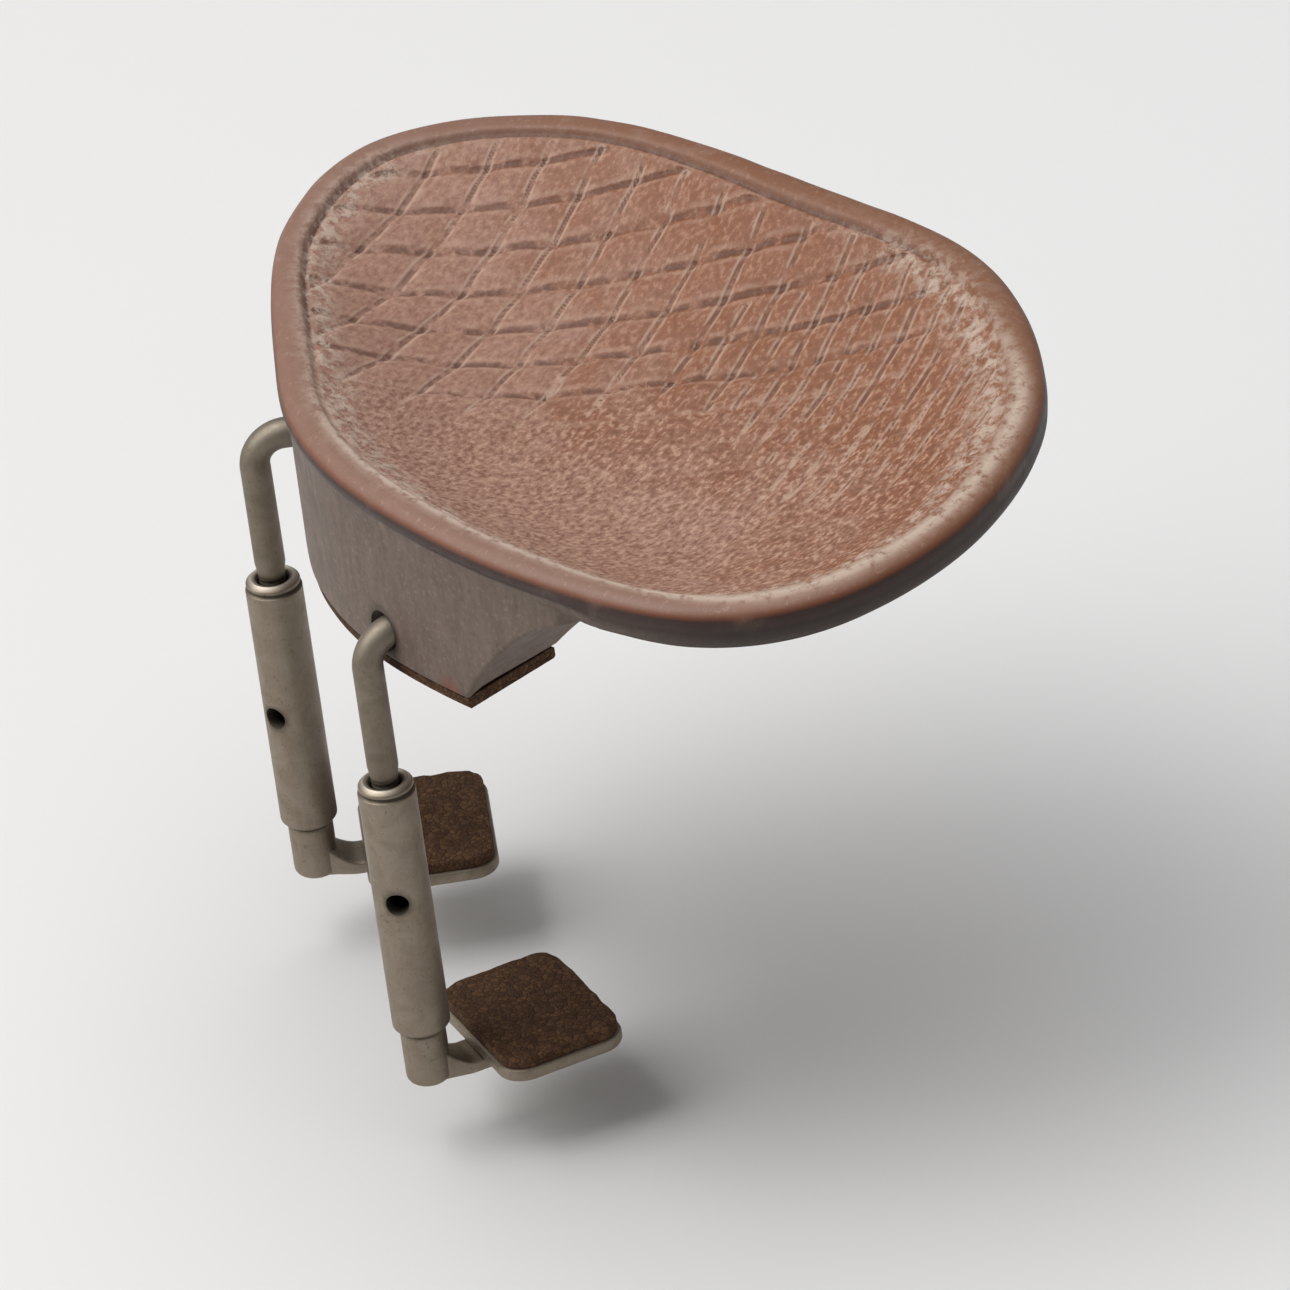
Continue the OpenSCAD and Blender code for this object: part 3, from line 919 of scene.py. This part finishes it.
def make_foot_cork(side):
    """A cork pad on its foot plate, pressed a little and crumbly at the edge."""
    clamp = clamps[side]
    bottom, top = FOOT_PLATE_TOP, FOOT_CORK_TOP
    rings = []
    core = foot_outline(CORK_INSET)
    centre = np.array([FOOT_X + FOOT_W / 2, 0.0])
    for t in np.linspace(0.04, 0.98, 22):
        rings.append(raised(centre + (core - centre) * t, top))
    for inset, z in ((0.0, top - 0.15), (0.0, (top + bottom) / 2), (0.0, bottom + 0.1),
                     (0.1, bottom)):
        rings.append(raised(foot_outline(CORK_INSET + inset), z))
    points, faces = loft(rings)
    x, y, z = points.T
    seed = 41 + 10 * SIDES.index(side)
    crumbs = 0.06 * value_noise(x + 2 * z, y, 0.9, seed) + 0.05 * value_noise(x, y + 2 * z, 0.45,
                                                                          seed + 1)
    points[:, 2] = np.clip(z + (crumbs - 0.08) * (z > top - 0.3), bottom, top)
    points[:, :2] += (crumbs * (z < top - 0.1))[:, None] * 0.7
    shape = build("foot_pad_" + side, clamp.place(points), faces)
    piece(shape, "foot_" + side, "foot_cork_" + side, "cork")


# ---- Clamps ----

def marks(shape, worn=0.0, shade_and_tarnish=0.0):
    """Stores how worn bright each point of a metal piece is, with a painted highlight on a barrel's top face, and
    how dark it is from tarnish and painted shade.
    """
    attribute(shape.data, "worn", worn)
    attribute(shape.data, "shade_and_tarnish", shade_and_tarnish)


def thread_rings(bottom, top, hand, clamp, sides=32):
    """Rings of a helical thread, from its top down. hand is 1 or -1 for the way it winds."""
    turn = turns(sides)
    rings = []
    for z in np.arange(top, bottom, -PITCH / 7):
        phase = (z / PITCH - hand * turn / (2 * math.pi)) % 1.0
        tooth = 1 - np.abs(2 * phase - 1)
        tooth = smoothstep(0.08, 0.85, tooth)
        ends = smoothstep(0, 0.5, z - bottom) * smoothstep(0, 0.35, top - z)
        radius = THREAD_R - THREAD_DEPTH * (1 - tooth) * ends
        rings.append(clamp.place(np.column_stack([radius * np.cos(turn), radius * np.sin(turn),
                                                  np.full(sides, z)])))
    return rings


def make_upper_hook(side):
    """A bent rod: a level arm into the stand, a bend, and an upright with a threaded end."""
    clamp = clamps[side]
    stud_end = BARREL_TOP - STUD_IN
    bend_z = ARM_Z - ARM_BEND_R
    rings = [circle_at(clamp, ARM_LENGTH, ARM_Z, -90, ROD_R - 0.25)]
    for x in np.linspace(ARM_LENGTH - 0.2, ARM_BEND_R, 24):
        rings.append(circle_at(clamp, x, ARM_Z, -90, ROD_R))
    for a in np.linspace(87, 3, 22):
        x = ARM_BEND_R * (1 - math.cos(math.radians(a)))
        z = bend_z + ARM_BEND_R * math.sin(math.radians(a))
        flat = 1 - 0.05 * math.sin(math.radians(2 * a))
        rings.append(circle_at(clamp, x, z, -a, ROD_R, squash=flat))
    taper_top = BARREL_TOP + THREAD_SHOWS + TAPER_H
    for z in np.linspace(bend_z, taper_top, 16):
        rings.append(circle_at(clamp, 0, z, 0, ROD_R))
    for t in (0.35, 0.7, 1.0):
        rings.append(circle_at(clamp, 0, taper_top - t * TAPER_H, 0,
                               ROD_R + (THREAD_R - ROD_R) * t))
    rings += thread_rings(stud_end, BARREL_TOP + THREAD_SHOWS - 0.1, 1, clamp)
    shape = build("upper_hook_rod_" + side, *loft(rings))
    z = coordinates(shape.data)[:, 2]
    # Tarnish along the rod, and painted shade on the thread where it goes into the barrel's mouth
    marks(shape, worn=0.25 * smoothstep(bend_z + 1, ARM_Z, z),
          shade_and_tarnish=0.22 + 0.55 * smoothstep(BARREL_TOP + 0.9, BARREL_TOP + 0.1, z))
    piece(shape, "chin_rest", "upper_hook_" + side, "nickel", sharp=55)


def make_barrel(side):
    """A turnbuckle barrel: a collar over a groove, countersunk mouths and a cross hole."""
    clamp = clamps[side]
    top, bottom = BARREL_TOP, BARREL_BOTTOM
    groove_z = top - GROOVE_DOWN
    outside = rounded_corners([
        (BORE_R + 0.05, top - 0.5, 0), (BORE_R + 0.32, top - 0.12, 0.1),
        (BARREL_R - 0.6, top, 0.15), (BARREL_R - 0.12, top - 0.4, 0.25),
        (BARREL_R - 0.12, groove_z + 0.24, 0.05), (BARREL_R - 0.3, groove_z + 0.08, 0.03),
        (BARREL_R - 0.3, groove_z - 0.08, 0.03), (BARREL_R, groove_z - 0.28, 0.08),
        (BARREL_R, bottom + 0.5, 0.4), (BARREL_R - 0.45, bottom, 0.1), (BORE_R + 0.3, bottom, 0)])
    k = np.argmax(np.abs(np.diff(outside[:, 1]))) + 1  # the barrel's long side ends here
    profile = [*outside[:k]]
    profile += [(BARREL_R, z) for z in np.linspace(*outside[k - 1:k + 1, 1], 40)[1:-1]]
    profile += [*outside[k:], (BORE_R, bottom + 0.3)]
    profile += [(BORE_R, z) for z in np.linspace(bottom + 1.5, top - 1.5, 20)]
    profile += [(BORE_R, top - 0.75)]
    points, faces = revolved(profile, wrap=True)
    shape = build("turnbuckle_" + side, clamp.place(points), faces)
    direction = clamp.hole_direction
    across = Vector((-direction.y, direction.x, 0))
    turn = turns(40)
    hole_middle = np.array([*clamp.axis, clamp.hole_z])
    rings = []
    for reach, wider in ((-BARREL_R - 1, KEY_MOUTH), (-BARREL_R + 0.18, 0.0),
                         (BARREL_R - 0.18, 0.0), (BARREL_R + 1, KEY_MOUTH)):
        ring = hole_middle + np.array(direction) * reach + (clamp.hole_r + wider) * (
            np.cos(turn)[:, None] * np.array(across)
            + np.sin(turn)[:, None] * np.array([0, 0, 1.0]))
        rings.append(ring[::-1])
    combine(shape, build("cutter", *loft(rings)))
    co = coordinates(shape.data)
    out = np.hypot(*(co[:, :2] - clamp.axis).T)
    from_hole = co - hole_middle
    along_hole = from_hole @ np.array(direction)
    off_hole = np.sqrt(np.maximum((from_hole ** 2).sum(1) - along_hole ** 2, 0))
    # A bright ring on the top face round the mouth: wear, with a painted highlight
    mouth = smoothstep(top - 0.35, top, co[:, 2]) * smoothstep(BORE_R + 0.35, BORE_R + 0.5, out)
    mouth *= smoothstep(BARREL_R - 0.2, BARREL_R - 0.4, out)
    # Painted shade in the bore, round the cross hole and in the groove under the collar
    inside = smoothstep(BARREL_R - 0.25, BARREL_R - 0.7, out) * (co[:, 2] < top - 0.4)
    shade_and_tarnish = np.maximum(inside, 0.5 * smoothstep(clamp.hole_r + 0.5, clamp.hole_r, off_hole))
    shade_and_tarnish = np.maximum(shade_and_tarnish, 0.75 * np.exp(-((co[:, 2] - groove_z) / 0.2) ** 2))
    marks(shape, worn=mouth, shade_and_tarnish=shade_and_tarnish)
    piece(shape, "barrel_" + side, "barrel_" + side, "nickel", sharp=30)


def flat_section(clamp, x, half_width, thickness, middle_z, corner, sides=32):
    """A rounded rectangle across a clamp's inward direction."""
    turn = turns(sides)
    power = 2 / (2 + 6 * corner)
    y = half_width * np.sign(np.sin(turn)) * np.abs(np.sin(turn)) ** power
    z = thickness / 2 * np.sign(np.cos(turn)) * np.abs(np.cos(turn)) ** power
    return clamp.place(np.column_stack([np.full(sides, x), y, middle_z - z]))


def rivet_hole(clamp, bottom, top):
    """The hole for a rivet through a part from bottom to top, as a solid to cut."""
    return build("cutter", *loft([circle_at(clamp, RIVET_X, z, 0, RIVET_HOLE_R, sides=48)
                                  for z in (top + 1, bottom - 1)]))


def make_lower_hook(side):
    """A threaded stud on a boss with a rounded heel, and a web and flat tongue to the rivet."""
    clamp = clamps[side]
    stud_top = BARREL_BOTTOM + STUD_IN
    rings = [circle_at(clamp, 0, stud_top, 0, THREAD_R - STUD_POINT)]
    rings += thread_rings(BOSS_TOP + 0.05, stud_top - 0.05, -1, clamp)
    outside = [(THREAD_R, BOSS_TOP), (BOSS_R - 0.22, BOSS_TOP), (BOSS_R - 0.08, BOSS_TOP - 0.06)]
    outside += [(BOSS_R, z) for z in np.linspace(BOSS_TOP - 0.22, HOOK_BOTTOM + HEEL, 12)]
    for a in np.radians(np.linspace(12, 88, 8)):
        outside.append((BOSS_R - HEEL * (1 - math.cos(a)), HOOK_BOTTOM + HEEL * (1 - math.sin(a))))
    for radius, z in outside:
        rings.append(circle_at(clamp, 0, z, 0, radius))
    tongue_t = TONGUE_TOP - HOOK_BOTTOM
    bars = []
    for x in np.linspace(WEB_FROM, TONGUE_X, 14):
        t = (x - WEB_FROM) / (TONGUE_X - WEB_FROM)
        thickness = tongue_t + (WEB_H - tongue_t) * (1 - t) ** 1.6
        half = WEB_W / 2 + (BOSS_R - WEB_W / 2) * smoothstep(0, 1, t)
        bars.append(flat_section(clamp, x, half, thickness, HOOK_BOTTOM + thickness / 2, 0.8))
    for x in np.linspace(TONGUE_X + 0.25, RIVET_X + TONGUE_R - 0.12, 30):
        round_end = math.sqrt(max(TONGUE_R ** 2 - (x - RIVET_X) ** 2, 0.0))
        width = max(BOSS_R, round_end) if x < RIVET_X else round_end
        bars.append(flat_section(clamp, x, width, tongue_t, HOOK_BOTTOM + tongue_t / 2, 0.8))
    shape = build("lower_hook_rod_" + side, *loft(rings))
    combine(shape, build("web", *loft(bars)), "UNION")
    combine(shape, rivet_hole(clamp, HOOK_BOTTOM, TONGUE_TOP))
    z = coordinates(shape.data)[:, 2]
    # Wear at the heel, and painted shade along the seam under the barrel
    marks(shape, worn=0.30 * smoothstep(HOOK_BOTTOM + 0.5, HOOK_BOTTOM, z),
          shade_and_tarnish=0.45 * smoothstep(BOSS_TOP - 0.25, BOSS_TOP, z))
    piece(shape, "foot_" + side, "lower_hook_" + side, "nickel", sharp=40)


def make_foot_plate(side):
    """A flat plate with a rolled edge, riveted to the hook."""
    clamp = clamps[side]
    top, bottom = FOOT_PLATE_TOP, TONGUE_TOP
    centre = np.array([RIVET_X, 0.0])
    round_rivet = centre + (foot_outline(2.2) - centre) * 0.4
    rings = [raised(round_rivet, top)]
    for inset, z in ((0.5, top), (0.28, top), (0.09, top - 0.09), (0.0, top - 0.28),
                     (0.0, bottom + 0.28), (0.09, bottom + 0.09), (0.28, bottom), (0.5, bottom)):
        rings.append(raised(foot_outline(inset), z))
    points, faces = loft([*rings, raised(round_rivet, bottom)])
    shape = build("foot_plate_sheet_" + side, clamp.place(points), faces)
    combine(shape, rivet_hole(clamp, bottom, top))
    marks(shape)
    piece(shape, "foot_" + side, "foot_plate_" + side, "nickel", sharp=30)


def make_rivet(side):
    """A domed rivet that joins the tongue and the plate."""
    clamp = clamps[side]
    top = FOOT_PLATE_TOP
    profile = [(0.05, top), (RIVET_R - 0.1, top), (RIVET_R, top - 0.1), (RIVET_R, HOOK_BOTTOM),
               (RIVET_HEAD_R - 0.1, HOOK_BOTTOM)]
    for a in np.radians(np.linspace(10, 85, 9)):
        profile.append((RIVET_HEAD_R * math.cos(a), HOOK_BOTTOM - RIVET_HEAD_H * math.sin(a)))
    points, faces = revolved(profile, sides=64)
    points[:, 0] += RIVET_X
    shape = build("rivet_" + side, clamp.place(points), faces)
    z = coordinates(shape.data)[:, 2]
    marks(shape, worn=0.6 * smoothstep(HOOK_BOTTOM - 0.2, LOWEST, z))
    piece(shape, "foot_" + side, "foot_rivet_" + side, "nickel", sharp=40)


for side in SIDES:
    make_upper_hook(side)
    make_barrel(side)
    make_lower_hook(side)
    make_foot_plate(side)
    make_rivet(side)
    make_foot_cork(side)


# ---- Floor, light and camera ----

def floor_material():
    s = Surface("pale_floor")
    cloud = s.noise(260.0, detail=3.0)
    base = s.mix(cloud, srgb(231, 231, 232), srgb(226, 225, 224))
    return s.finish(Base_Color=base, Roughness=0.75, Specular_IOR_Level=0.2)


# The feet slide down from here, so the floor lies just below their lowest place.
FOOT_TRAVEL = max(j["range_m"][1] for j in frame["joints"] if j["type"] == "slide")
floor_z = (LOWEST - FLOOR_GAP) * MM - FOOT_TRAVEL
floor_mesh = bpy.data.meshes.new("floor")
floor_mesh.from_pydata([(x, y, floor_z) for x, y in ((-3, -3), (3, -3), (3, 3), (-3, 3))],
                       [], [(0, 1, 2, 3)])
floor = add("floor", floor_mesh)
floor_mesh.materials.append(floor_material())

middle = (Vector(cad_bounds[0]) + Vector(cad_bounds[1])) / 2
AZIMUTH = math.radians(47.0)
ELEVATION = math.radians(31.5)
ROLL = math.radians(8.0)
CAMERA_LENS = 440
CAMERA_DISTANCE = 1.4


def view_axes(azimuth, elevation, roll):
    """The camera's right, up and back directions. A roll leans uprights to the left."""
    back = Vector((math.sin(azimuth) * math.cos(elevation),
                   -math.cos(azimuth) * math.cos(elevation), math.sin(elevation)))
    right = Vector((math.cos(azimuth), math.sin(azimuth), 0))
    up = back.cross(right)
    return (right * math.cos(roll) - up * math.sin(roll),
            up * math.cos(roll) + right * math.sin(roll), back)


def make_camera():
    """A long lens, far off, for a nearly orthographic view."""
    data = bpy.data.cameras.new("camera")
    data.lens = CAMERA_LENS
    data.sensor_width = 36
    data.clip_start = 0.1
    camera = add("camera", data)
    right, up, back = view_axes(AZIMUTH, ELEVATION, ROLL)
    camera.matrix_world = Matrix.Translation(middle + back * CAMERA_DISTANCE) @ Matrix(
        (right, up, back)).transposed().to_4x4()
    bpy.context.scene.camera = camera


def softbox(name, direction, distance, size, power, colour=(1, 1, 1)):
    """A square soft light that faces the object from a direction given as (right, up, back)."""
    right, _, back = view_axes(AZIMUTH, 0.0, 0.0)
    towards = (right * direction[0] + Vector((0, 0, 1)) * direction[1] + back * direction[2])
    towards.normalize()
    data = bpy.data.lights.new(name, "AREA")
    data.size = size
    data.energy = power
    data.color = colour
    light = add(name, data)
    light.location = middle + towards * distance
    light.rotation_euler = towards.to_track_quat("Z", "Y").to_euler()


make_camera()
softbox("key", (-0.70, 1.0, 0.05), 1.1, 0.8, 7.0, (1.0, 0.985, 0.965))
softbox("overhead", (0.0, 1.0, -0.10), 1.2, 1.2, 8.6)
softbox("left_window", (-1.0, 0.25, 0.05), 1.3, 0.9, 2.6)
world = bpy.data.worlds.new("studio")
world.use_nodes = True
sky = world.node_tree.nodes["Background"]
sky.inputs["Color"].default_value = (0.98, 0.99, 1.0, 1.0)
sky.inputs["Strength"].default_value = 0.22
bpy.context.scene.world = world
bpy.context.scene.view_settings.view_transform = "Standard"
